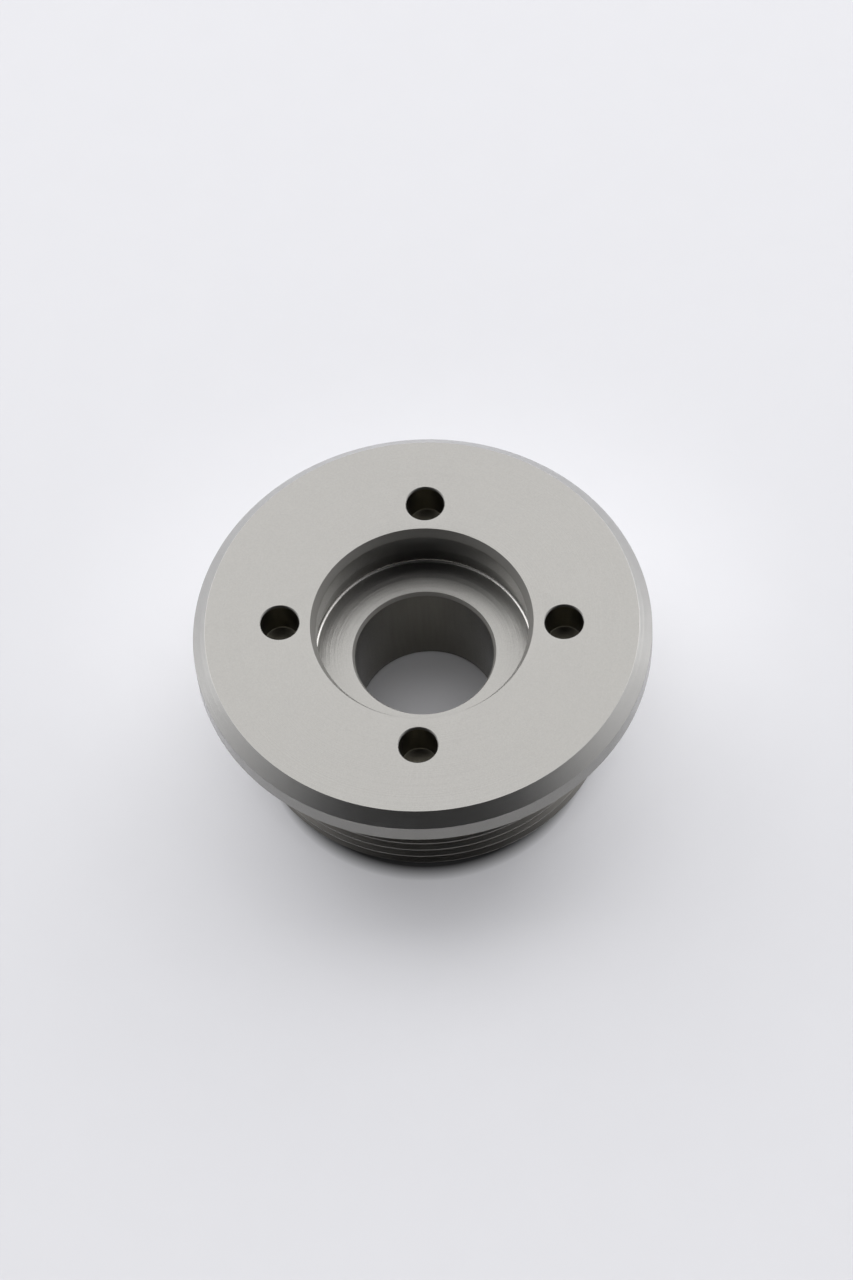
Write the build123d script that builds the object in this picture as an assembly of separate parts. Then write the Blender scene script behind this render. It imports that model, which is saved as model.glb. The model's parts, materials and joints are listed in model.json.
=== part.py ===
"""Flanged retainer turned from one bar of aluminium.

The part is a round flange on a short stub with a fine external thread.  It
screws into a housing until the flange's underside seats.  A seat for a small
bearing or seal is bored into the flange's face, a through bore runs on down
the axis, and four blind holes in the face take a pin spanner.

Frame: +Z is the turning axis, the stub's end face lies on z = 0 and the
flange is on top.  The first spanner hole lies on the +X axis.
"""

import os
from math import ceil, radians, tan

from build123d import *

# Driving dimensions, in millimetres and degrees.

# Flange
flange_diameter = 36.0
flange_thickness = 2.8
flange_chamfer = 1.0
flange_edge_break = 0.2

# Stub, from the flange's underside down to its end face
stub_length = 10.7
stub_end_chamfer = 1.0

# Right-hand external thread on the stub, cut to a 60-degree V
thread_diameter = 29.0
thread_pitch = 1.0
thread_crest_flat = 0.125
thread_flank_angle = 30.0
groove_start_angle = 100.0

# Relief under the flange, where the thread runs out
relief_diameter = 27.4
relief_width = 3.0

# Seat bored into the flange's face, with a tapered lead-in
seat_diameter = 17.0
seat_depth = 4.5
seat_fillet = 0.3
lead_in_length = 1.0
lead_in_angle = 15.0

# Through bore
bore_diameter = 11.0
bore_chamfer = 0.3

# Blind holes for a pin spanner
spanner_hole_count = 4
spanner_hole_diameter = 3.0
spanner_hole_depth = 3.0
spanner_hole_edge_break = 0.1
spanner_circle_diameter = 22.25

# Values that follow from the ones above.
top = stub_length + flange_thickness
flange_radius = flange_diameter / 2
thread_radius = thread_diameter / 2
relief_radius = relief_diameter / 2
relief_foot = stub_length - relief_width
relief_shoulder = relief_foot + thread_radius - relief_radius
seat_radius = seat_diameter / 2
seat_floor = top - seat_depth
lead_in_radius = seat_radius + lead_in_length * tan(radians(lead_in_angle))
bore_radius = bore_diameter / 2


def turned_blank():
    """Everything that the lathe cuts except the thread, as one revolve."""
    with BuildPart() as blank:
        with BuildSketch(Plane.XZ):
            with BuildLine():
                outside = Polyline(
                    (bore_radius + bore_chamfer, 0),
                    (thread_radius - stub_end_chamfer, 0),
                    (thread_radius, stub_end_chamfer),
                    (thread_radius, relief_foot),
                    (relief_radius, relief_shoulder),
                    (relief_radius, stub_length),
                    (flange_radius - flange_edge_break, stub_length),
                    (flange_radius, stub_length + flange_edge_break),
                    (flange_radius, top - flange_chamfer),
                    (flange_radius - flange_chamfer, top),
                    (lead_in_radius, top),
                    (seat_radius, top - lead_in_length),
                    (seat_radius, seat_floor + seat_fillet),
                )
                corner = RadiusArc(outside @ 1, (seat_radius - seat_fillet, seat_floor), seat_fillet)
                Polyline(
                    corner @ 1,
                    (bore_radius + bore_chamfer, seat_floor),
                    (bore_radius, seat_floor - bore_chamfer),
                    (bore_radius, bore_chamfer),
                    (bore_radius + bore_chamfer, 0),
                )
            make_face()
        revolve(axis=Axis.Z)
    return blank.part


def spanner_holes():
    """The ring of blind holes, each with its broken edge, as one tool to subtract."""
    hole_radius = spanner_hole_diameter / 2
    down_from_face = (Align.CENTER, Align.CENTER, Align.MAX)
    with BuildPart() as holes:
        with Locations((0, 0, top)):
            with PolarLocations(spanner_circle_diameter / 2, spanner_hole_count):
                Cylinder(hole_radius, spanner_hole_depth, align=down_from_face)
                Cone(
                    hole_radius,
                    hole_radius + spanner_hole_edge_break,
                    spanner_hole_edge_break,
                    align=down_from_face,
                )
    return holes.part


def thread_groove():
    """The thread's helical V groove, as a tool to subtract.

    It begins below the end face and ends in the relief, clear of the stub at
    both ends.  It is swept along one helix for each turn, so that every face
    goes round the stub once.
    """
    slope = tan(radians(thread_flank_angle))
    half_mouth = (thread_pitch - thread_crest_flat) / 2
    depth = half_mouth / slope
    clearance = depth / 4
    half_outer = half_mouth + clearance * slope
    end = relief_shoulder + half_outer
    turns = ceil(end / thread_pitch) + 1
    start = end - turns * thread_pitch
    path = [
        Helix(thread_pitch, thread_pitch, thread_radius, center=(0, 0, start + turn * thread_pitch))
        for turn in range(turns)
    ]
    profile = Plane.XZ * Polygon(
        (thread_radius + clearance, start - half_outer),
        (thread_radius + clearance, start + half_outer),
        (thread_radius - depth, start),
        align=None,
    )
    groove = sweep(profile, path=Wire(path), is_frenet=True)
    return Rotation(0, 0, groove_start_angle + 360 * start / thread_pitch) * groove


def flanged_retainer():
    """The finished part, as one solid."""
    return turned_blank() - spanner_holes() - thread_groove()


if __name__ == "__main__":
    os.makedirs("parts", exist_ok=True)
    export_step(flanged_retainer(), "parts/flanged_retainer.step")
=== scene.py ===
"""A flanged retainer turned from aluminium, with its finish and its studio.

The body is one turned piece: a round flange on a stub with a fine external
thread, a stepped seat, a through bore and a ring of blind spanner holes.  It is
built here as a closed mesh with softened edges, satin anodised, and set on a
pale floor in soft light.
"""

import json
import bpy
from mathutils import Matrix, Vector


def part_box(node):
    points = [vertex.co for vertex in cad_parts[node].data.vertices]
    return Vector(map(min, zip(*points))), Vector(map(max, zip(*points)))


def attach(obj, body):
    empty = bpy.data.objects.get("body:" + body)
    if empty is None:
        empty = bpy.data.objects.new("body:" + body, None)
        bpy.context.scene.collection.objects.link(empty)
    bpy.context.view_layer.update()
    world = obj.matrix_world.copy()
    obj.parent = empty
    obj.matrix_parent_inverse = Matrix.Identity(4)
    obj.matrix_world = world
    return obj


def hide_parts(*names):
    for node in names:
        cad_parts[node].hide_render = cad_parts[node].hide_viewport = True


bl_info = {
    "name": "Flanged Retainer",
    "version": (1, 0, 0),
    "blender": (4, 5, 0),
    "location": "3D View > Sidebar > Retainer",
    "description": "Builds a turned retainer with a fine thread, its satin finish and its studio",
    "category": "Add Mesh",
}

from math import ceil, cos, pi, radians, sin, tan

import bmesh
import bpy
from bpy.props import FloatProperty, FloatVectorProperty, IntProperty, PointerProperty
from mathutils import Euler, Matrix, Vector

NODE = "flanged_retainer"

# How finely round things are cut into faces, and how many turns the thread's
# rows have to spare at each end.
ARC_STEPS = 4
WELL_ARC_STEPS = 5
THREAD_ARC_STEPS = 3
THREAD_PITCH_PARTS = 9
THREAD_MARGIN = 3
HOLE_SEGMENTS = 96
STAGE_SEGMENTS = 96
# Edges that turn more than this are sharp, and vertices closer than this are one.
SHARP_ANGLE = radians(35)
WELD_DISTANCE = 1e-8
# How far large faces lead small ones in the shading, where 50 is evenly.
LARGE_FACE_LEAD = 100

# A metric thread's flank, and how much of the crest's flat its rounded corners take.
THREAD_FLANK_ANGLE = radians(30)
CREST_ROUNDING = 0.4

# The soft panels round the part: where each stands, how wide and high it looks
# from the part, all in degrees, and its share of the light.
PANEL_DISTANCE = 1.1
PANELS = (
    ("back_panel", 95.5, 50, 84, 66, 1.4),
    ("right_panel", 10, 21, 84, 52, 0.4),
    ("left_panel", 176, 21, 84, 52, 0.3),
    ("right_corner", 42, 28, 46, 46, 1.2),
    ("left_corner", 149, 28, 46, 46, 1.0),
)
# A soft light inside the tent that lifts the shadow on the floor and is kept out
# of every reflection, given in the same way.
FILL_DISTANCE = 0.9
FILL = ("floor_fill", 275, 50, 70, 50, 1.2)
# How far the painted shadow at the part's foot is shifted to its front, the
# falling distances over which the paper under the part begins, and how far the
# floor reaches, all in metres.
FOOT_SHIFT = 0.0024
UNDER_PART_REACH = (0.0086, 0.0083)
FLOOR_RADIUS = 4.0
# Degrees between the tent's rows, and a small number that keeps a division by
# the distance from the axis from failing at its top.
TENT_STEP = 3
TENT_POLE = 0.01

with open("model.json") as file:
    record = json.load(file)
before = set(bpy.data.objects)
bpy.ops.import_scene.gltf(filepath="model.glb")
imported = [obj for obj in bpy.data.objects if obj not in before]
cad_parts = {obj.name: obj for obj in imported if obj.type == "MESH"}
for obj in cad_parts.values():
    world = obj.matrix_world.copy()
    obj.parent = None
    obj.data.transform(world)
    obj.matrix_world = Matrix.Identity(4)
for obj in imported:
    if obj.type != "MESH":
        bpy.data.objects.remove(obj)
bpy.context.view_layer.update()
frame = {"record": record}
interfaces = {mount["name"]: mount for mount in frame["record"]["mounts"]}


def interface_size(name, key):
    """A size of one of the part's interfaces, in metres."""
    return interfaces[name]["dims"][key] / 1000


# Shapes ---------------------------------------------------------------------


def softened(corners, steps=ARC_STEPS):
    """Points along a chain of (across, up, radius) corners, each turned into an arc."""
    points = []
    for index, (across, up, radius) in enumerate(corners):
        corner = Vector((across, up))
        if not radius or index in (0, len(corners) - 1):
            points.append(corner)
            continue
        before = (Vector(corners[index - 1][:2]) - corner).normalized()
        after = (Vector(corners[index + 1][:2]) - corner).normalized()
        half = before.angle(after) / 2
        reach = radius / tan(half)
        centre = corner + (before + after).normalized() * radius / sin(half)
        first, last = corner + before * reach - centre, corner + after * reach - centre
        sweep = first.angle(last)
        for step in range(steps + 1):
            share = step / steps
            weights = sin((1 - share) * sweep), sin(share * sweep)
            points.append(centre + (first * weights[0] + last * weights[1]) / sin(sweep))
    return points


def divided(points, longest):
    """The same chain with every run longer than longest cut into equal parts."""
    slack = 0.001
    result = [points[0]]
    for start, end in zip(points, points[1:]):
        parts = max(1, ceil((end - start).length / longest - slack))
        result += [start.lerp(end, part / parts) for part in range(1, parts + 1)]
    return result


class Lathe:
    """Adds turned surfaces to one mesh, as loops of vertices and bands of faces."""

    def __init__(self, segments):
        self.mesh = bmesh.new()
        self.segments = segments

    def loop(self, radius, height, centre=(0.0, 0.0), segments=None):
        """A level ring of vertices round the centre."""
        count = segments or self.segments
        return [
            self.mesh.verts.new(
                (
                    centre[0] + radius * cos(2 * pi * step / count),
                    centre[1] + radius * sin(2 * pi * step / count),
                    height,
                )
            )
            for step in range(count)
        ]

    def band(self, below, above):
        """The faces between two loops of as many vertices."""
        count = len(below)
        for step in range(count):
            following = (step + 1) % count
            self.face(below[step], below[following], above[following], above[step])

    def face(self, *corners):
        """A face between the corners, or none where they fall together."""
        distinct = list(dict.fromkeys(corners))
        if len(distinct) > 2:
            self.mesh.faces.new(distinct)

    def turn(self, chain, centre=(0.0, 0.0), segments=None):
        """A band of faces between each two points of the chain. Returns all the loops."""
        loops = [self.loop(point[0], point[1], centre, segments) for point in chain]
        for below, above in zip(loops, loops[1:]):
            self.band(below, above)
        return loops

    def plate(self, *loops):
        """A flat face inside the first loop, with the other loops as its holes."""
        edges = []
        for loop in loops:
            for start, end in zip(loop, loop[1:] + loop[:1]):
                edges.append(self.mesh.edges.get((start, end)) or self.mesh.edges.new((start, end)))
        bmesh.ops.triangle_fill(self.mesh, use_beauty=True, edges=edges)

    def thread(self, groove, pitch, start_angle, outline, bottom, top):
        """A threaded surface from bottom to top. Returns its end loops.

        groove is one pitch of the thread as (along, radius) points, with the
        middle of the groove at 0.  outline gives the blank's radius at a height,
        which the thread never passes.
        """
        turns = range(int(bottom / pitch) - THREAD_MARGIN, int(top / pitch) + THREAD_MARGIN)
        rows = [(turn * pitch + along, radius) for turn in turns for along, radius in groove[:-1]]
        columns = []
        for step in range(self.segments):
            angle = 2 * pi * step / self.segments
            rise = pitch * (angle - start_angle) / (2 * pi)
            column, previous, vertex = [], None, None
            for height, radius in rows:
                height = min(max(height + rise, bottom), top)
                place = (min(radius, outline(height)), height)
                if height in (bottom, top):
                    place = (outline(height), height)
                if place != previous:
                    vertex = self.mesh.verts.new((place[0] * cos(angle), place[0] * sin(angle), place[1]))
                    previous = place
                column.append(vertex)
            columns.append(column)
        a_turn = len(groove) - 1
        for step in range(self.segments):
            left, right = columns[step], columns[(step + 1) % self.segments]
            shift = a_turn if step + 1 == self.segments else 0
            for row in range(len(rows) - 1):
                low = right[min(row + shift, len(rows) - 1)]
                high = right[min(row + 1 + shift, len(rows) - 1)]
                self.face(left[row], low, high, left[row + 1])
            for row in range(shift):
                self.face(left[0], right[row], right[row + 1])
        return [column[0] for column in columns], [column[-1] for column in columns]

    def finished(self, name, sharp_angle):
        """The mesh as a new object, smooth but for its sharp edges."""
        bmesh.ops.recalc_face_normals(self.mesh, faces=self.mesh.faces)
        for face in self.mesh.faces:
            face.smooth = True
        for edge in self.mesh.edges:
            edge.smooth = edge.calc_face_angle(pi) < sharp_angle
        data = bpy.data.meshes.new(name)
        self.mesh.to_mesh(data)
        self.mesh.free()
        piece = bpy.data.objects.new(name, data)
        bpy.context.scene.collection.objects.link(piece)
        even = piece.modifiers.new("even_shading", "WEIGHTED_NORMAL")
        even.keep_sharp = True
        even.weight = LARGE_FACE_LEAD
        return piece


# The body's section ---------------------------------------------------------

# Each of these gives a chain of (across, up, radius) corners.  An end point on
# a flat face only gives that face's direction, and is left out of the band.


def flange_corners(sizes, flange, top, shoulder):
    """The flange's rim, its underside and the relief, down to the thread's shoulder."""
    soft = sizes.edge_softness
    underside = top - sizes.flange_thickness
    relief = sizes.relief_diameter / 2
    return [
        (flange - 2 * sizes.flange_chamfer, top, 0),
        (flange - sizes.flange_chamfer, top, soft),
        (flange, top - sizes.flange_chamfer, soft),
        (flange, underside + sizes.flange_edge_break, soft / 2),
        (flange - sizes.flange_edge_break, underside, soft / 2),
        (relief, underside, soft),
        (relief, shoulder, 0),
    ]


def groove_corners(sizes, crest):
    """One pitch of the thread, with the middle of the groove at 0."""
    half_mouth = (sizes.thread_pitch - sizes.thread_crest_flat) / 2
    depth = half_mouth / tan(THREAD_FLANK_ANGLE)
    rounding = sizes.thread_crest_flat * CREST_ROUNDING
    return [
        (-sizes.thread_pitch / 2, crest, 0),
        (-half_mouth, crest, rounding),
        (0, crest - depth, sizes.thread_root_radius),
        (half_mouth, crest, rounding),
        (sizes.thread_pitch / 2, crest, 0),
    ]


def well_corners(sizes, flange, top, end):
    """The stub's end, the bore, and the seat with its recess, land and lead-in."""
    soft = sizes.edge_softness
    bore = interface_size("bore", "r_mm")
    seat = interface_size("seat", "r_mm")
    seat_floor = top - sizes.seat_depth
    land = seat - sizes.land_rise
    recess = seat + sizes.recess_depth
    return [
        (end, 0, 0),
        (bore + sizes.bore_chamfer, 0, soft),
        (bore, sizes.bore_chamfer, soft),
        (bore, seat_floor - sizes.bore_lead_length, soft),
        (bore + sizes.bore_lead_width, seat_floor, soft / 2),
        (recess, seat_floor, sizes.seat_fillet),
        (recess, top - sizes.land_depth, soft),
        (land, top - sizes.land_depth, soft),
        (land, top - sizes.lead_in_length, soft * 2),
        (land + sizes.lead_in_length * tan(sizes.lead_in_angle), top, soft / 2),
        (flange, top, 0),
    ]


def hole_corners(sizes, hole, top):
    """A blind hole with its edge broken, down to the middle of its floor."""
    soft = sizes.edge_softness
    return [
        (hole * 2, top, 0),
        (hole + sizes.hole_edge_break, top, soft),
        (hole, top - sizes.hole_edge_break, soft),
        (hole, top - sizes.hole_depth, soft * 2),
        (0, top - sizes.hole_depth, 0),
    ]


# Shader maths ---------------------------------------------------------------

# The numbers of a Mix node's two colour inputs and of its colour output.
MIX_COLOUR_INPUTS = (6, 7)
MIX_COLOUR_OUTPUT = 2
# How wide the soft edge of a mask is, in metres.
MASK_EDGE = 0.0001


class Signal:
    """An output of a shader node, which Python's operators carry on through Math nodes."""

    def __init__(self, shader, socket):
        self.shader, self.socket = shader, socket

    def _math(self, operation, *values):
        return self.shader.node("ShaderNodeMath", {"operation": operation}, dict(enumerate(values)))

    def __add__(self, other):
        return self._math("ADD", self, other)

    def __sub__(self, other):
        return self._math("SUBTRACT", self, other)

    def __rsub__(self, other):
        return self._math("SUBTRACT", other, self)

    def __mul__(self, other):
        return self._math("MULTIPLY", self, other)

    def __truediv__(self, other):
        return self._math("DIVIDE", self, other)

    def __rtruediv__(self, other):
        return self._math("DIVIDE", other, self)

    def __pow__(self, other):
        return self._math("POWER", self, other)

    __radd__, __rmul__ = __add__, __mul__

    def larger(self, other):
        return self._math("MAXIMUM", self, other)


class Shader:
    """The node tree of one new material."""

    def __init__(self, name):
        self.material = bpy.data.materials.new(name)
        self.material.use_nodes = True
        self.tree = self.material.node_tree
        self.surface = self.tree.nodes["Principled BSDF"]

    def node(self, kind, settings=None, inputs=None, output=0):
        """Adds a node of that kind, with its settings first and then its inputs."""
        made = self.tree.nodes.new(kind)
        for name, value in (settings or {}).items():
            setattr(made, name, value)
        for name, value in (inputs or {}).items():
            self.feed(made.inputs[name], value)
        return Signal(self, made.outputs[output])

    def feed(self, socket, value):
        """Links a signal to the socket, or sets it to a constant."""
        if isinstance(value, Signal):
            self.tree.links.new(value.socket, socket)
        else:
            socket.default_value = value

    def vector(self, operation, *values):
        settings = {"operation": operation}
        return self.node("ShaderNodeVectorMath", settings, dict(enumerate(values)))

    def scaled(self, vector, factor):
        return self.node("ShaderNodeVectorMath", {"operation": "SCALE"}, {0: vector, "Scale": factor})

    def length(self, vector):
        return self.node("ShaderNodeVectorMath", {"operation": "LENGTH"}, {0: vector}, "Value")

    def parts(self, vector):
        """The x, y and z of a vector."""
        split = self.node("ShaderNodeSeparateXYZ", None, {0: vector}).socket.node
        return [Signal(self, output) for output in split.outputs]

    def whole(self, x, y, z):
        return self.node("ShaderNodeCombineXYZ", None, {0: x, 1: y, 2: z})

    def noise(self, place, size, detail=2.0, output=0):
        """Smooth noise with features of about that size in metres, from 0 to 1."""
        inputs = {"Vector": place, "Scale": 1 / size, "Detail": detail}
        return self.node("ShaderNodeTexNoise", {"noise_dimensions": "3D"}, inputs, output)

    def eased(self, value, start, end):
        """0 up to start and 1 from end on, with an even rise between them."""
        inputs = {"Value": value, "From Min": start, "From Max": end}
        return self.node("ShaderNodeMapRange", {"interpolation_type": "LINEAR"}, inputs)

    def under(self, value, high, edge=MASK_EDGE):
        """1 up to high, and 0 past its soft edge."""
        return self.eased(value, high + edge, high)

    def band(self, value, low, high, edge=MASK_EDGE):
        """1 between low and high, and 0 outside them."""
        return self.eased(value, low - edge, low) * self.under(value, high, edge)

    def mix(self, factor, first, second):
        """The first colour where the factor is 0 and the second where it is 1."""
        colours = [colour if isinstance(colour, Signal) else (*colour, 1.0) for colour in (first, second)]
        inputs = {0: factor, **dict(zip(MIX_COLOUR_INPUTS, colours))}
        return self.node("ShaderNodeMix", {"data_type": "RGBA"}, inputs, MIX_COLOUR_OUTPUT)

    def finish(self, inputs):
        """The material, with the inputs of its surface set or linked."""
        for name, value in inputs.items():
            self.feed(self.surface.inputs[name], value)
        return self.material


# Finishes -------------------------------------------------------------------

# How far a surface points up, from 0 on a wall to 1 on a face, as each kind of
# cut fades in.  The falling pairs fade in as the surface leans away from up.
FACE_SLOPES = (0.4, 0.9)
CHAMFER_SLOPES = (0.4, 0.6)
RIM_SLOPES = (0.4, 0.3)
TAPER_SLOPES = (0.8, 0.7)
BORE_MOUTH_SLOPES = (0.9, 0.8)
FILLET_FLOOR_SLOPES = (0.99, 0.97)
FILLET_WALL_SLOPES = (0.02, 0.1)
# How wide the soft edges of the chamfer's and the fillet's tones are, in metres.
CHAMFER_EDGE = 0.00005
FILLET_EDGE = 0.00003

# The share of the tool marks' depth that is left on a wall.
WALL_MARKS = 0.2
# What varies the metal's tone: each one's size in metres and its share.  The
# grain's size is a multiple of the grain that tilts the surface.
CLOUD_SIZE, CLOUD_SHARE = 0.0016, 0.25
RING_SIZE, RING_SHARE = 0.0004, 0.05
GRAIN_TONE_SCALE, GRAIN_SHARE = 1.6, 0.7
# How far the tone varies each way as a share of it, and the roughness from end to end.
TONE_SPREAD = 0.12
ROUGHNESS_SPREAD = 0.06
# The width in metres of the painted reflection streaks that run along the bore, and its share of their
# length.
STREAK_WIDTH, STREAK_SQUEEZE = 0.0003, 0.06
# What is left of the thread's tone under the painted shade at its foot, and of the paper's under the painted
# shadow at the part's foot.
THREAD_FOOT_SHADE = 0.35
PAPER_FOOT_SHADOW = 0.05
# The refractive index of the anodised skin.
SKIN_IOR = 1.42
# The paper's fibres, in metres, how far they vary its tone, and how fast its painted pool of light near the
# part falls off.
FIBRE_SIZE, FIBRE_SPREAD = 0.004, 0.02
NEAR_FALL = 3.0


class BodySurface:
    """Where each point of the turned body lies, and on which of its cuts."""

    def __init__(self, shader):
        self.shader = shader
        self.place = shader.node("ShaderNodeTexCoord", output="Object")
        self.normal = shader.node("ShaderNodeNewGeometry", output="Normal")
        x, y, self.height = shader.parts(self.place)
        self.radius = (x * x + y * y) ** 0.5
        self.section = shader.whole(self.radius, self.height, 0.0)
        self.upward = shader.parts(self.normal)[2]

    def sloped(self, slopes):
        return self.shader.eased(self.upward, *slopes)

    def inside(self, finish):
        """The through bore and the spanner holes."""
        under, band = self.shader.under, self.shader.band
        bore = under(self.radius, finish.bore_reach) * under(self.height, finish.bore_top)
        return bore + band(self.radius, *finish.hole_reach) * band(self.height, *finish.hole_heights)

    def chamfer(self, finish):
        start = finish.chamfer_radius
        return self.shader.eased(self.radius, start, start + CHAMFER_EDGE) * self.sloped(CHAMFER_SLOPES)

    def thread(self, finish):
        eased = self.shader.eased
        return eased(self.radius, *finish.thread_reach) * eased(self.height, *finish.thread_top)

    def rim(self, finish):
        return self.shader.eased(self.radius, *finish.rim_reach) * self.sloped(RIM_SLOPES)

    def lead_in(self, finish):
        reach = self.shader.band(self.radius, *finish.lead_in_reach)
        return reach * self.shader.eased(self.height, *finish.lead_in_heights) * self.sloped(TAPER_SLOPES)

    def fillet(self, finish):
        reach = self.shader.band(self.radius, *finish.fillet_reach)
        reach = reach * self.shader.band(self.height, *finish.fillet_heights, FILLET_EDGE)
        return reach * self.sloped(FILLET_FLOOR_SLOPES) * self.sloped(FILLET_WALL_SLOPES)

    def bore_mouth(self, finish):
        reach = self.shader.eased(self.radius, *finish.bore_mouth_reach)
        heights = self.shader.eased(self.height, *finish.bore_mouth_heights)
        return reach * heights * self.sloped(BORE_MOUTH_SLOPES)


def tooled_normal(shader, surface, finish):
    """The normal, tilted along the section by the tool's marks and every way by the grain."""
    around = shader.vector("CROSS_PRODUCT", (0.0, 0.0, 1.0), surface.place)
    along = shader.vector("NORMALIZE", shader.vector("CROSS_PRODUCT", surface.normal, around))
    strength = surface.sloped(FACE_SLOPES) * (1 - WALL_MARKS) + WALL_MARKS
    marks = (shader.noise(surface.section, finish.mark_spacing, detail=3.0) - 0.5) * strength
    grain = shader.noise(surface.place, finish.grain_size, detail=2.0, output="Color")
    speckle = shader.vector("SUBTRACT", grain, (0.5, 0.5, 0.5))
    bent = shader.vector("ADD", surface.normal, shader.scaled(along, marks * finish.mark_depth))
    bent = shader.vector("ADD", bent, shader.scaled(speckle, finish.grain_depth))
    return shader.vector("NORMALIZE", bent)


def metal_tone(shader, surface, finish, cloud):
    """The anodised metal's colour, varied by soft clouds, faint rings and the grain."""
    rings = shader.noise(surface.section, RING_SIZE, detail=2.0)
    grain = shader.noise(surface.place, finish.grain_size * GRAIN_TONE_SCALE, detail=2.0)
    tone = cloud * CLOUD_SHARE + rings * RING_SHARE + grain * GRAIN_SHARE
    low = [channel * (1 - TONE_SPREAD) for channel in finish.colour]
    high = [channel * (1 + TONE_SPREAD) for channel in finish.colour]
    return shader.mix(tone, low, high)


def bore_shade_and_streaks(shader, surface, finish):
    """The darker, browner tone of the bore and the holes, its darkness painted shade, in painted reflection
    streaks along the axis.
    """
    drawn_out = shader.vector("MULTIPLY", surface.place, (1.0, 1.0, STREAK_SQUEEZE))
    streak = shader.noise(drawn_out, STREAK_WIDTH, detail=3.0)
    return shader.mix(streak, finish.bore_shade_dark, finish.bore_shade_light)


def thread_tone_and_foot_shade(shader, surface, finish):
    """The thread's tone, with painted shade that darkens it towards its foot."""
    rise = shader.eased(surface.height, 0.0, finish.thread_foot_shade_height)
    return shader.scaled(tuple(finish.thread_colour), rise * (1 - THREAD_FOOT_SHADE) + THREAD_FOOT_SHADE)


def satin_anodised(finish):
    """Turned aluminium under a thin grey anodised skin.

    The tool's marks run round the part, so they bend the light along its
    section, most on the faces, and a fine etched grain scatters it every way.
    """
    shader = Shader("satin_anodised")
    surface = BodySurface(shader)
    cloud = shader.noise(surface.place, CLOUD_SIZE, detail=3.0)
    lead_in = surface.lead_in(finish)
    fillet = surface.fillet(finish)
    bore_mouth = surface.bore_mouth(finish)
    colour = metal_tone(shader, surface, finish, cloud)
    for cut, tone in (
        # The chamfer's paler tone is partly painted light.
        (surface.chamfer(finish), finish.chamfer_tone_and_light),
        # The thread's tone carries painted shade at its foot.
        (surface.thread(finish), thread_tone_and_foot_shade(shader, surface, finish)),
        (surface.rim(finish), finish.rim_colour),
        # The lead-in's paler tone is painted light.
        (lead_in, finish.lead_in_colour_with_painted_light),
        # The fillet's pale tone is a painted highlight.
        (fillet, finish.fillet_and_mouth_highlight),
        # The bore mouth's pale ring is a painted highlight.
        (bore_mouth, finish.fillet_and_mouth_highlight),
        # The bore's and the holes' tone is painted shade with painted reflection streaks.
        (surface.inside(finish), bore_shade_and_streaks(shader, surface, finish)),
    ):
        colour = shader.mix(cut, colour, tone)
    roughness = (
        cloud * ROUGHNESS_SPREAD
        + lead_in.larger(bore_mouth) * finish.lead_in_roughness
        - fillet * finish.fillet_polish
        + (finish.roughness - ROUGHNESS_SPREAD / 2)
    )
    return shader.finish(
        {
            "Base Color": colour,
            "Metallic": 1.0,
            "Roughness": roughness,
            "Coat Weight": finish.coat,
            "Coat Roughness": finish.coat_roughness,
            "Coat IOR": SKIN_IOR,
            "Normal": tooled_normal(shader, surface, finish),
        }
    )


def plain_paper(studio):
    """The matt pale sheet that the part stands on, painted paler near the part as a pool of light and
    painted dark at its foot as a shadow.
    """
    shader = Shader("plain_paper")
    place = shader.node("ShaderNodeTexCoord", output="Object")
    distance = shader.length(place)
    fibre = shader.noise(place, FIBRE_SIZE, detail=4.0) * FIBRE_SPREAD + (1 - FIBRE_SPREAD / 2)
    under_part = shader.eased(distance, *UNDER_PART_REACH)
    # The paper is painted paler near the part, a painted pool of light that lifts its shadow.
    away = shader.eased(distance, studio.floor_near_reach, studio.floor_far_reach)
    painted_light_pool = (1.0 - away) ** NEAR_FALL * (1.0 - under_part)
    # The shade at the part's foot is a painted shadow in the paper's colour, strongest at the front.
    crescent = shader.length(shader.vector("ADD", place, (0.0, FOOT_SHIFT, 0.0)))
    rise = shader.eased(crescent, studio.painted_shadow_from, studio.painted_shadow_to)
    painted_foot_shadow = (rise * (1 - PAPER_FOOT_SHADOW) + PAPER_FOOT_SHADOW).larger(under_part)
    tone = shader.scaled(shader.mix(painted_light_pool, studio.floor_far, studio.floor_near), painted_foot_shadow)
    return shader.finish(
        {
            "Base Color": shader.scaled(tone, fibre),
            "Roughness": 0.6,
            "Specular IOR Level": 0.2,
        }
    )


# Settings -------------------------------------------------------------------


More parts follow.
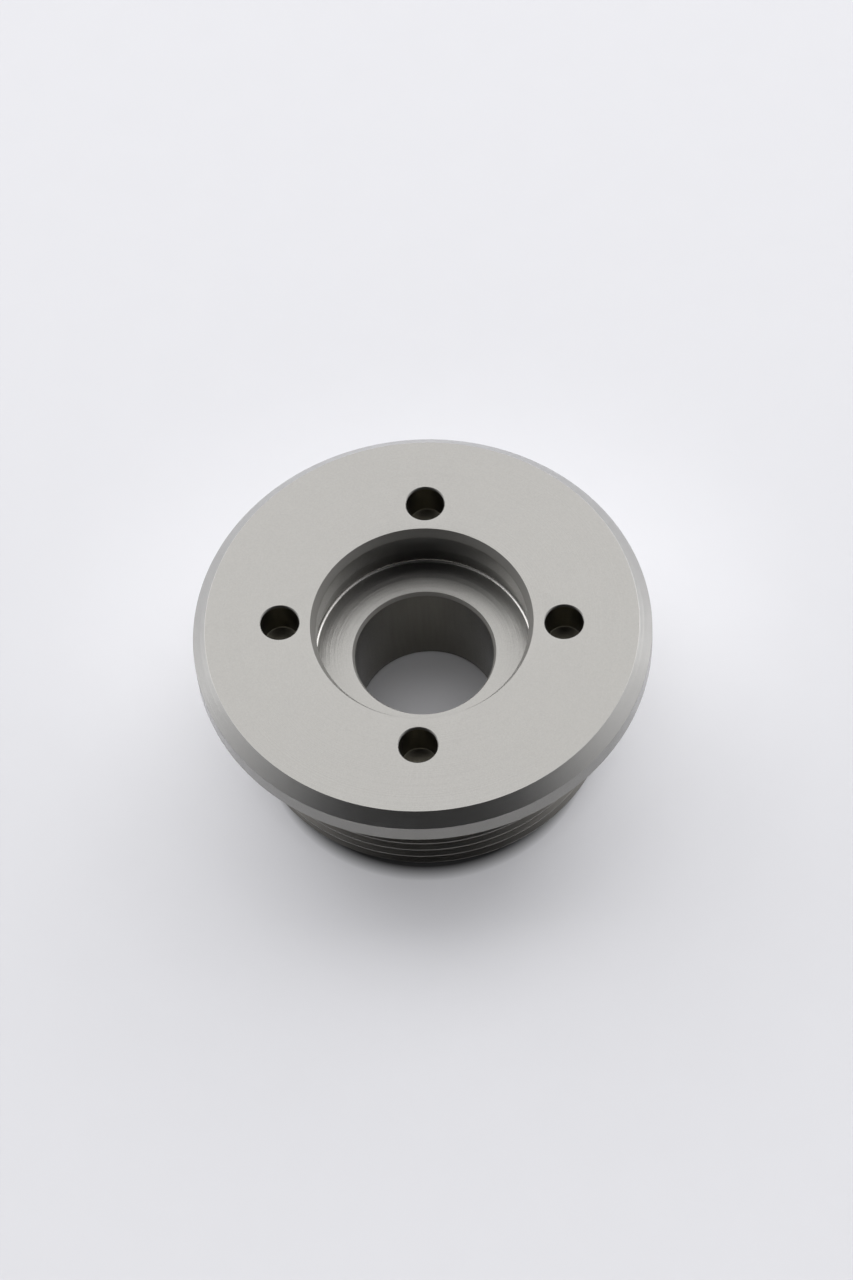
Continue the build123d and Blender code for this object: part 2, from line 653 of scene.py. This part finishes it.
class RetainerSizes(bpy.types.PropertyGroup):
    """Sizes of the turned body."""

    flange_thickness: FloatProperty(
        name="Flange thickness", description="From the flange's face to its underside",
        default=0.0028, min=0.001, unit="LENGTH", precision=5,
    )
    flange_chamfer: FloatProperty(
        name="Flange chamfer", description="Chamfer round the flange's face",
        default=0.001, min=0.0001, unit="LENGTH", precision=5,
    )
    flange_edge_break: FloatProperty(
        name="Flange edge break", description="Break round the flange's lower edge",
        default=0.0002, min=0.00005, unit="LENGTH", precision=5,
    )
    edge_softness: FloatProperty(
        name="Edge softness", description="Radius that finishing leaves on every outer edge",
        default=0.00005, min=0.00001, unit="LENGTH", precision=5,
    )
    stub_end_chamfer: FloatProperty(
        name="Stub end chamfer", description="Chamfer that leads the thread in",
        default=0.001, min=0.0001, unit="LENGTH", precision=5,
    )
    thread_pitch: FloatProperty(
        name="Thread pitch", description="Distance from one ridge to the next",
        default=0.001, min=0.0002, unit="LENGTH", precision=5,
    )
    thread_crest_flat: FloatProperty(
        name="Thread crest flat", description="Width of the flat on each ridge",
        default=0.000125, min=0.00001, unit="LENGTH", precision=6,
    )
    thread_root_radius: FloatProperty(
        name="Thread root radius", description="Radius at the bottom of the groove",
        default=0.00014, min=0.00001, unit="LENGTH", precision=6,
    )
    thread_start: FloatProperty(
        name="Thread start", description="Angle at which the groove's middle passes the end face",
        default=radians(100), subtype="ANGLE",
    )
    relief_diameter: FloatProperty(
        name="Relief diameter", description="Diameter of the relief under the flange",
        default=0.0274, min=0.01, unit="LENGTH", precision=5,
    )
    relief_width: FloatProperty(
        name="Relief width", description="Width of the relief under the flange",
        default=0.003, min=0.0005, unit="LENGTH", precision=5,
    )
    seat_depth: FloatProperty(
        name="Seat depth", description="From the flange's face to the seat's floor",
        default=0.0045, min=0.001, unit="LENGTH", precision=5,
    )
    seat_fillet: FloatProperty(
        name="Seat fillet", description="Fillet round the seat's floor",
        default=0.00025, min=0.00005, unit="LENGTH", precision=5,
    )
    land_rise: FloatProperty(
        name="Land rise", description="How far the land stands inside the seat's nominal radius",
        default=0.00015, min=0.0, unit="LENGTH", precision=5,
    )
    land_depth: FloatProperty(
        name="Land depth", description="From the flange's face to the lower end of the land",
        default=0.0025, min=0.001, unit="LENGTH", precision=5,
    )
    recess_depth: FloatProperty(
        name="Recess depth", description="How far the recess under the land passes the nominal radius",
        default=0.0002, min=0.0, unit="LENGTH", precision=5,
    )
    lead_in_length: FloatProperty(
        name="Lead-in length", description="Depth of the taper at the seat's mouth",
        default=0.0007, min=0.0001, unit="LENGTH", precision=5,
    )
    lead_in_angle: FloatProperty(
        name="Lead-in angle", description="Angle between the taper and the axis",
        default=radians(30), subtype="ANGLE",
    )
    bore_chamfer: FloatProperty(
        name="Bore chamfer", description="Chamfer at the lower end of the through bore",
        default=0.0003, min=0.00005, unit="LENGTH", precision=5,
    )
    bore_lead_width: FloatProperty(
        name="Bore lead width", description="How far the taper at the bore's mouth widens it",
        default=0.0002, min=0.00005, unit="LENGTH", precision=5,
    )
    bore_lead_length: FloatProperty(
        name="Bore lead length", description="Depth of the taper at the bore's mouth in the seat",
        default=0.00034, min=0.00005, unit="LENGTH", precision=5,
    )
    hole_depth: FloatProperty(
        name="Spanner hole depth", description="Depth of each blind hole",
        default=0.003, min=0.0005, unit="LENGTH", precision=5,
    )
    hole_edge_break: FloatProperty(
        name="Spanner hole edge break", description="Chamfer at the mouth of each blind hole",
        default=0.0001, min=0.00002, unit="LENGTH", precision=5,
    )
    segments: IntProperty(
        name="Segments", description="Faces in one turn round the part", default=240, min=48, max=480,
    )


class RetainerFinish(bpy.types.PropertyGroup):
    """Colour and texture of the anodised metal, with painted light and shade in some of its tones."""

    colour: FloatVectorProperty(
        name="Colour", description="Tone of the anodised metal",
        default=(0.22, 0.215, 0.202), size=3, min=0.0, max=1.0, subtype="COLOR",
    )
    # The chamfer's paler tone is partly painted light.
    chamfer_tone_and_light: FloatVectorProperty(
        name="Chamfer colour", description="Tone of the paler cut round the flange's face",
        default=(0.36, 0.355, 0.342), size=3, min=0.0, max=1.0, subtype="COLOR",
    )
    chamfer_radius: FloatProperty(
        name="Chamfer radius", description="Radius from which the face has the paler cut",
        default=0.01697, unit="LENGTH", precision=5,
    )
    thread_colour: FloatVectorProperty(
        name="Thread colour", description="Tone of the thread",
        default=(0.19, 0.182, 0.165), size=3, min=0.0, max=1.0, subtype="COLOR",
    )
    thread_reach: FloatVectorProperty(
        name="Thread reach", description="Radii over which the thread's tone sets in",
        default=(0.0132, 0.0133), size=2, unit="LENGTH", precision=5,
    )
    thread_top: FloatVectorProperty(
        name="Thread top", description="Falling heights over which the thread's tone sets in",
        default=(0.0107, 0.0106), size=2, unit="LENGTH", precision=5,
    )
    # Below this height the thread is darkened by painted shade.
    thread_foot_shade_height: FloatProperty(
        name="Thread foot", description="Height under which the thread darkens towards its foot",
        default=0.0022, min=0.0001, unit="LENGTH", precision=4,
    )
    # The lead-in's paler tone is painted light.
    lead_in_colour_with_painted_light: FloatVectorProperty(
        name="Lead-in colour", description="Tone of the paler cut at the seat's mouth",
        default=(0.30, 0.293, 0.276), size=3, min=0.0, max=1.0, subtype="COLOR",
    )
    # The fillet's and the bore mouth's pale tone is a painted highlight.
    fillet_and_mouth_highlight: FloatVectorProperty(
        name="Fillet colour", description="Tone of the seat's fillet and of the bore's mouth",
        default=(0.42, 0.41, 0.39), size=3, min=0.0, max=1.0, subtype="COLOR",
    )
    fillet_polish: FloatProperty(
        name="Fillet polish", description="How much less the seat's fillet blurs a reflection",
        default=0.15, min=0.0, max=0.3, subtype="FACTOR",
    )
    fillet_reach: FloatVectorProperty(
        name="Fillet reach", description="Radii between which the fillet lies",
        default=(0.00843, 0.0088), size=2, unit="LENGTH", precision=5,
    )
    fillet_heights: FloatVectorProperty(
        name="Fillet heights", description="Heights between which the fillet lies",
        default=(0.009, 0.00926), size=2, unit="LENGTH", precision=5,
    )
    rim_colour: FloatVectorProperty(
        name="Rim colour", description="Tone of the flange's rim",
        default=(0.182, 0.177, 0.16), size=3, min=0.0, max=1.0, subtype="COLOR",
    )
    rim_reach: FloatVectorProperty(
        name="Rim reach", description="Radii over which the rim's tone sets in",
        default=(0.0178, 0.0179), size=2, unit="LENGTH", precision=5,
    )
    lead_in_roughness: FloatProperty(
        name="Lead-in roughness", description="How much more the tapers at the mouths blur a reflection",
        default=0.45, min=0.0, max=0.6, subtype="FACTOR",
    )
    lead_in_reach: FloatVectorProperty(
        name="Lead-in reach", description="Radii between which the taper lies",
        default=(0.0083, 0.0089), size=2, unit="LENGTH", precision=5,
    )
    lead_in_heights: FloatVectorProperty(
        name="Lead-in heights", description="Heights over which the taper's tone sets in",
        default=(0.0126, 0.0128), size=2, unit="LENGTH", precision=5,
    )
    bore_mouth_reach: FloatVectorProperty(
        name="Bore mouth reach", description="Falling radii over which the tone of the bore's mouth sets in",
        default=(0.00575, 0.00572), size=2, unit="LENGTH", precision=5,
    )
    bore_mouth_heights: FloatVectorProperty(
        name="Bore mouth heights", description="Heights over which the tone of the bore's mouth sets in",
        default=(0.0086, 0.00868), size=2, unit="LENGTH", precision=5,
    )
    # The bore's and the holes' darker tone is painted shade, streaked as painted reflections.
    bore_shade_dark: FloatVectorProperty(
        name="Bore's dark tone", description="Darker tone of the streaks in the bore",
        default=(0.13, 0.118, 0.09), size=3, min=0.0, max=1.0, subtype="COLOR",
    )
    bore_shade_light: FloatVectorProperty(
        name="Bore's light tone", description="Lighter tone of the streaks in the bore",
        default=(0.165, 0.155, 0.122), size=3, min=0.0, max=1.0, subtype="COLOR",
    )
    # This tone of the bore is painted shade with painted reflection streaks.
    bore_reach: FloatProperty(
        name="Bore tone reach", description="Radius inside which the bore has its own tone",
        default=0.0057, unit="LENGTH", precision=5,
    )
    bore_top: FloatProperty(
        name="Bore tone top", description="Height under which the bore has its own tone",
        default=0.0086, unit="LENGTH", precision=5,
    )
    hole_reach: FloatVectorProperty(
        name="Hole tone reach", description="Radii between which the spanner holes have the bore's tone",
        default=(0.0091, 0.0132), size=2, unit="LENGTH", precision=5,
    )
    hole_heights: FloatVectorProperty(
        name="Hole tone heights", description="Heights between which they have it",
        default=(0.0104, 0.0132), size=2, unit="LENGTH", precision=5,
    )
    roughness: FloatProperty(
        name="Roughness", description="How far the metal blurs a reflection",
        default=0.33, min=0.05, max=1.0, subtype="FACTOR",
    )
    coat: FloatProperty(
        name="Skin", description="Weight of the clear anodised skin",
        default=1.0, min=0.0, max=1.0, subtype="FACTOR",
    )
    coat_roughness: FloatProperty(
        name="Skin roughness", description="How far the anodised skin blurs a reflection",
        default=0.27, min=0.05, max=1.0, subtype="FACTOR",
    )
    mark_spacing: FloatProperty(
        name="Tool mark spacing", description="Width of the marks that the tool leaves",
        default=0.00005, min=0.00001, unit="LENGTH", precision=6,
    )
    mark_depth: FloatProperty(
        name="Tool mark depth", description="How far the tool marks tilt the surface",
        default=0.95, min=0.0, max=3.0,
    )
    grain_size: FloatProperty(
        name="Grain size", description="Size of the etched grain",
        default=0.00008, min=0.00001, unit="LENGTH", precision=6,
    )
    grain_depth: FloatProperty(
        name="Grain depth", description="How far the grain tilts the surface",
        default=0.22, min=0.0, max=1.0,
    )


class StudioSettings(bpy.types.PropertyGroup):
    """The floor, the light and the camera."""

    # The near tone is a painted pool of light round the part, paler than the far tone.
    floor_near: FloatVectorProperty(
        name="Floor tone near", description="Tone of the pale floor close to the part",
        default=(0.835, 0.835, 0.86), size=3, min=0.0, max=1.0, subtype="COLOR",
    )
    floor_far: FloatVectorProperty(
        name="Floor tone far", description="Tone of the pale floor away from the part",
        default=(0.565, 0.565, 0.585), size=3, min=0.0, max=1.0, subtype="COLOR",
    )
    floor_near_reach: FloatProperty(
        name="Floor near reach", description="Distance from the axis at which the near tone ends",
        default=0.016, unit="LENGTH", precision=4,
    )
    floor_far_reach: FloatProperty(
        name="Floor far reach", description="Distance from the axis at which the far tone begins",
        default=0.045, unit="LENGTH", precision=4,
    )
    # The shade at the foot is a painted shadow in the floor's colour.
    painted_shadow_from: FloatProperty(
        name="Foot shade from", description="Radius inside which the shade at the foot is darkest",
        default=0.0119, unit="LENGTH", precision=4,
    )
    painted_shadow_to: FloatProperty(
        name="Foot shade to", description="Radius at which the shade at the foot ends",
        default=0.0132, unit="LENGTH", precision=4,
    )
    room_colour: FloatVectorProperty(
        name="Room colour", description="Tone of the light that comes from all round",
        default=(0.80, 0.80, 0.82), size=3, min=0.0, max=1.0, subtype="COLOR",
    )
    tent_colour: FloatVectorProperty(
        name="Tent colour", description="Tone of the dark tent",
        default=(0.03, 0.03, 0.031), size=3, min=0.0, max=1.0, subtype="COLOR",
    )
    tent_front_from: FloatProperty(
        name="Tent front from", description="How far forward the front of the tent begins", default=-0.1,
    )
    tent_front_to: FloatProperty(
        name="Tent front to", description="How far forward the front of the tent is closed", default=0.85,
    )
    tent_roof_from: FloatProperty(
        name="Tent roof from", description="Elevation at which the tent's roof begins",
        default=radians(80), subtype="ANGLE",
    )
    tent_roof_to: FloatProperty(
        name="Tent roof to", description="Elevation at which the tent's roof is closed",
        default=radians(88), subtype="ANGLE",
    )
    panel_light: FloatProperty(
        name="Panel light", description="Brightness that the soft panels add, where 1 is white",
        default=1.0, min=0.0,
    )
    view_azimuth: FloatProperty(
        name="View azimuth", description="How far round to the right the camera stands",
        default=radians(5.4895), subtype="ANGLE",
    )
    view_elevation: FloatProperty(
        name="View elevation", description="How far the camera looks down",
        default=radians(57.9824), subtype="ANGLE",
    )
    view_roll: FloatProperty(
        name="View roll", description="How far the camera leans to one side",
        default=radians(-4.8429), subtype="ANGLE",
    )
    view_distance: FloatProperty(
        name="View distance", description="From the camera to the point it looks at",
        default=0.342158, min=0.01, unit="LENGTH", precision=5,
    )
    view_target: FloatVectorProperty(
        name="View target", description="The point that the camera looks at",
        default=(0.00042, -0.001644, 0.0135), size=3, subtype="XYZ", unit="LENGTH", precision=5,
    )
    lens: FloatProperty(
        name="Lens", description="Focal length of the camera in millimetres",
        default=123.545, min=10.0,
    )


# Operators ------------------------------------------------------------------


class RETAINER_OT_body(bpy.types.Operator):
    """Turn the retainer's body, with its thread, seat, bore and spanner holes"""

    bl_idname = "retainer.body"
    bl_label = "Turn body"
    bl_options = {"REGISTER", "UNDO"}

    def execute(self, context):
        sizes = context.scene.retainer_sizes
        low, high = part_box(NODE)
        flange, top = high.x, high.z
        crest = interface_size("thread", "r_mm")
        foot = top - sizes.flange_thickness - sizes.relief_width
        shoulder = foot + crest - sizes.relief_diameter / 2
        end = crest - sizes.stub_end_chamfer

        def outline(height):
            """The blank's radius: a chamfer at the end and a shoulder down to the relief."""
            return min(crest, end + height, crest - (height - foot))

        lathe = Lathe(sizes.segments)
        rim = lathe.turn(softened(flange_corners(sizes, flange, top, shoulder))[1:])
        end_loop, shoulder_loop = lathe.thread(
            divided(
                softened(groove_corners(sizes, crest), THREAD_ARC_STEPS),
                sizes.thread_pitch / THREAD_PITCH_PARTS,
            ),
            sizes.thread_pitch,
            sizes.thread_start,
            outline,
            0.0,
            shoulder,
        )
        lathe.band(shoulder_loop, rim[-1])
        well = lathe.turn(softened(well_corners(sizes, flange, top, end), WELL_ARC_STEPS)[1:-1])
        lathe.band(end_loop, well[0])
        lathe.plate(rim[0], well[-1], *self.spanner_holes(lathe, sizes, top))

        bmesh.ops.remove_doubles(lathe.mesh, verts=lathe.mesh.verts, dist=WELD_DISTANCE)
        body = lathe.finished("turned_body", SHARP_ANGLE)
        body.data.materials.append(satin_anodised(context.scene.retainer_finish))
        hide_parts(NODE)
        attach(body, "root")
        return {"FINISHED"}

    def spanner_holes(self, lathe, sizes, top):
        """The blind holes on their circle.  Returns the loops of their mouths."""
        hole = interface_size("spanner_holes", "hole_r_mm")
        circle = interface_size("spanner_holes", "pcd_mm") / 2
        count = interfaces["spanner_holes"]["dims"]["count"]
        mouths = []
        for step in range(count):
            angle = 2 * pi * step / count
            centre = circle * cos(angle), circle * sin(angle)
            loops = lathe.turn(softened(hole_corners(sizes, hole, top))[1:-1], centre, HOLE_SEGMENTS)
            lathe.mesh.faces.new(loops[-1])
            mouths.append(loops[0])
        return mouths


class RETAINER_OT_studio(bpy.types.Operator):
    """Set up the pale floor, the soft light and the camera"""

    bl_idname = "retainer.studio"
    bl_label = "Set up studio"
    bl_options = {"REGISTER", "UNDO"}

    def execute(self, context):
        studio = context.scene.retainer_studio
        scene = context.scene
        scene.view_settings.view_transform = "Standard"
        self.floor(studio)
        self.room(scene, studio)
        for panel in PANELS:
            self.panel(studio.panel_light, PANEL_DISTANCE, *panel)
        self.panel(studio.panel_light, FILL_DISTANCE, *FILL).visible_glossy = False
        self.dark_tent(studio)
        self.camera(scene, studio)
        return {"FINISHED"}

    def floor(self, studio):
        lathe = Lathe(STAGE_SEGMENTS)
        lathe.mesh.faces.new(lathe.loop(FLOOR_RADIUS, 0.0))
        sheet = lathe.finished("floor", pi)
        sheet.data.materials.append(plain_paper(studio))

    def room(self, scene, studio):
        world = bpy.data.worlds.new("room")
        world.use_nodes = True
        world.node_tree.nodes["Background"].inputs["Color"].default_value = [*studio.room_colour, 1.0]
        scene.world = world

    def panel(self, light, distance, name, azimuth, elevation, across, upright, share):
        """A soft panel that faces the part, with its light even over its whole face."""
        size = [2 * distance * tan(radians(degrees) / 2) for degrees in (across, upright)]
        lamp = bpy.data.lights.new(name, "AREA")
        lamp.shape, lamp.size, lamp.size_y = "RECTANGLE", *size
        lamp.energy = light * share * pi * size[0] * size[1]
        holder = bpy.data.objects.new(name, lamp)
        away = Euler((0.0, -radians(elevation), radians(azimuth))).to_matrix() @ Vector((1.0, 0.0, 0.0))
        holder.location = away * distance
        holder.rotation_euler = away.to_track_quat("Z", "Y").to_euler()
        holder.visible_camera = False
        bpy.context.scene.collection.objects.link(holder)
        return holder

    def dark_tent(self, studio):
        """A dark tent over the part, open towards the panels, which the camera looks through."""
        lathe = Lathe(STAGE_SEGMENTS)
        rows = [lathe.loop(cos(radians(tilt)), sin(radians(tilt))) for tilt in range(0, 90, TENT_STEP)]
        for below, above in zip(rows, rows[1:]):
            lathe.band(below, above)
        lathe.mesh.faces.new(rows[-1])
        tent = lathe.finished("dark_tent", pi)
        shader = Shader("grey_felt")
        place = shader.node("ShaderNodeTexCoord", output="Object")
        x, y, z = shader.parts(shader.vector("NORMALIZE", place))
        forward = y * -1.0 / (x * x + y * y + TENT_POLE) ** 0.5
        front = shader.eased(forward, studio.tent_front_from, studio.tent_front_to)
        roof = shader.eased(z, sin(studio.tent_roof_from), sin(studio.tent_roof_to))
        felt = {"Base Color": (*studio.tent_colour, 1.0), "Roughness": 1.0, "Alpha": front.larger(roof)}
        tent.data.materials.append(shader.finish(felt))
        tent.visible_camera = False

    def camera(self, scene, studio):
        """Stands the camera off its target, leaning by the roll."""
        lens = bpy.data.cameras.new("camera")
        lens.lens, lens.sensor_width = studio.lens, 36.0
        lens.clip_start, lens.clip_end = 0.01, 20.0
        holder = bpy.data.objects.new("camera", lens)
        azimuth, elevation = studio.view_azimuth, studio.view_elevation
        back = Vector((sin(azimuth) * cos(elevation), -cos(azimuth) * cos(elevation), sin(elevation)))
        lean = Matrix.Rotation(studio.view_roll, 3, "Z")
        aim = Euler((pi / 2 - elevation, 0.0, azimuth)).to_matrix() @ lean
        place = Vector(studio.view_target) + back * studio.view_distance
        holder.matrix_world = Matrix.Translation(place) @ aim.to_4x4()
        scene.collection.objects.link(holder)
        scene.camera = holder


class RETAINER_PT_panel(bpy.types.Panel):
    """The retainer's sizes, finish and studio."""

    bl_idname = "RETAINER_PT_panel"
    bl_label = "Flanged retainer"
    bl_space_type = "VIEW_3D"
    bl_region_type = "UI"
    bl_category = "Retainer"

    def draw(self, context):
        groups = (
            ("Body", "retainer_sizes", "retainer.body"),
            ("Finish", "retainer_finish", None),
            ("Studio", "retainer_studio", "retainer.studio"),
        )
        for title, group, operator in groups:
            box = self.layout.box()
            box.label(text=title)
            settings = getattr(context.scene, group)
            for name in settings.__annotations__:
                box.prop(settings, name)
            if operator:
                box.operator(operator)


CLASSES = (
    RetainerSizes,
    RetainerFinish,
    StudioSettings,
    RETAINER_OT_body,
    RETAINER_OT_studio,
    RETAINER_PT_panel,
)


def register():
    for item in CLASSES:
        bpy.utils.register_class(item)
    bpy.types.Scene.retainer_sizes = PointerProperty(type=RetainerSizes)
    bpy.types.Scene.retainer_finish = PointerProperty(type=RetainerFinish)
    bpy.types.Scene.retainer_studio = PointerProperty(type=StudioSettings)


def unregister():
    del bpy.types.Scene.retainer_studio
    del bpy.types.Scene.retainer_finish
    del bpy.types.Scene.retainer_sizes
    for item in reversed(CLASSES):
        bpy.utils.unregister_class(item)


def main():
    register()
    bpy.ops.retainer.body()
    bpy.ops.retainer.studio()


if __name__ == "__main__":
    main()
